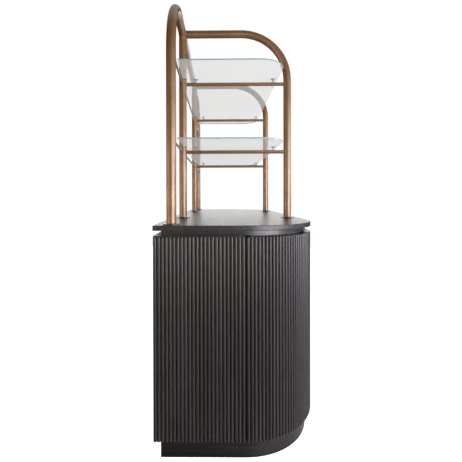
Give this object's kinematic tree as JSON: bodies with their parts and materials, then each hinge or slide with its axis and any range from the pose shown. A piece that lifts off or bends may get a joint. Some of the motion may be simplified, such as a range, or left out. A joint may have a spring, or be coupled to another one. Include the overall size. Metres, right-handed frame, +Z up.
{
  "type": "bar cabinet",
  "caption": "Floor-standing bar cabinet with a black reeded base, quarter-round corner doors and a bronze tube rack with glass shelves on its top.",
  "frame": {"origin": "on the floor under the middle of the top slab", "axes": "+Z up, +X along the width, front towards -Y"},
  "size_m": [1.64, 0.6, 1.678],
  "materials": {
    "reeded_wood": "black stained open-grain reeds, satin",
    "slab_wood": "black stained open-grain board, satin lacquer",
    "plinth_wood": "black stained board, matt",
    "carcass_wood": "black stained board, satin",
    "bronze_tube": "antique bronze, satin",
    "dark_flange": "dark bronze, satin",
    "hardware_steel": "zinc-plated steel",
    "catch_block": "black moulded block with a magnet",
    "clear_glass": "clear float glass, polished green edge",
    "clear_cup": "clear soft plastic"
  },
  "bodies": {
    "cabinet": {"back_arch": "bronze_tube", "back_panel": "carcass_wood", "bottom_panel": "carcass_wood", "catch_magnets": "catch_block", "centre_shelf": "carcass_wood", "foot_flanges": "dark_flange", "hinge_leaves": "hardware_steel", "left_back_post": "bronze_tube", "left_corner_shelf": "carcass_wood", "left_end_facing": "reeded_wood", "left_end_panel": "carcass_wood", "left_hoop": "bronze_tube", "left_partition": "carcass_wood", "lower_back_rails": "bronze_tube", "lower_cups": "clear_cup", "lower_glass_shelf": "clear_glass", "lower_left_cross_rail": "bronze_tube", "lower_right_cross_rail": "bronze_tube", "neck_board": "slab_wood", "plinth_back_rail": "plinth_wood", "plinth_bearers": "plinth_wood", "plinth_front_rail": "plinth_wood", "plinth_left_corner": "plinth_wood", "plinth_left_rail": "plinth_wood", "plinth_right_corner": "plinth_wood", "plinth_right_rail": "plinth_wood", "post_bolts": "hardware_steel", "post_plugs": "hardware_steel", "right_back_post": "bronze_tube", "right_corner_shelf": "carcass_wood", "right_end_facing": "reeded_wood", "right_end_panel": "carcass_wood", "right_hoop": "bronze_tube", "right_partition": "carcass_wood", "shelf_pins": "hardware_steel", "top_panel": "carcass_wood", "top_slab": "slab_wood", "upper_back_rails": "bronze_tube", "upper_cups": "clear_cup", "upper_glass_shelf": "clear_glass", "upper_left_cross_rail": "bronze_tube", "upper_right_cross_rail": "bronze_tube"},
    "left_corner_door": {"left_corner_door_bushes": "hardware_steel", "left_corner_door_core": "carcass_wood", "left_corner_door_facing": "reeded_wood", "left_corner_door_strike": "hardware_steel"},
    "left_front_door": {"left_front_door_bushes": "hardware_steel", "left_front_door_core": "carcass_wood", "left_front_door_facing": "reeded_wood", "left_front_door_strike": "hardware_steel"},
    "right_front_door": {"right_front_door_bushes": "hardware_steel", "right_front_door_core": "carcass_wood", "right_front_door_facing": "reeded_wood", "right_front_door_strike": "hardware_steel"},
    "right_corner_door": {"right_corner_door_bushes": "hardware_steel", "right_corner_door_core": "carcass_wood", "right_corner_door_facing": "reeded_wood", "right_corner_door_strike": "hardware_steel"}
  },
  "joints": [
    {"name": "left_corner_door_hinge", "type": "hinge", "parent": "cabinet", "child": "left_corner_door", "pos_m": [-0.806, -0.0355, 0.42], "axis": [0, 0, 1], "range_deg": [-95, 0]},
    {"name": "left_front_door_hinge", "type": "hinge", "parent": "cabinet", "child": "left_front_door", "pos_m": [-0.5205, -0.286, 0.42], "axis": [0, 0, 1], "range_deg": [-95, 0]},
    {"name": "right_front_door_hinge", "type": "hinge", "parent": "cabinet", "child": "right_front_door", "pos_m": [0.5205, -0.286, 0.42], "axis": [0, 0, 1], "range_deg": [0, 95]},
    {"name": "right_corner_door_hinge", "type": "hinge", "parent": "cabinet", "child": "right_corner_door", "pos_m": [0.806, -0.0355, 0.42], "axis": [0, 0, 1], "range_deg": [0, 95]}
  ]
}
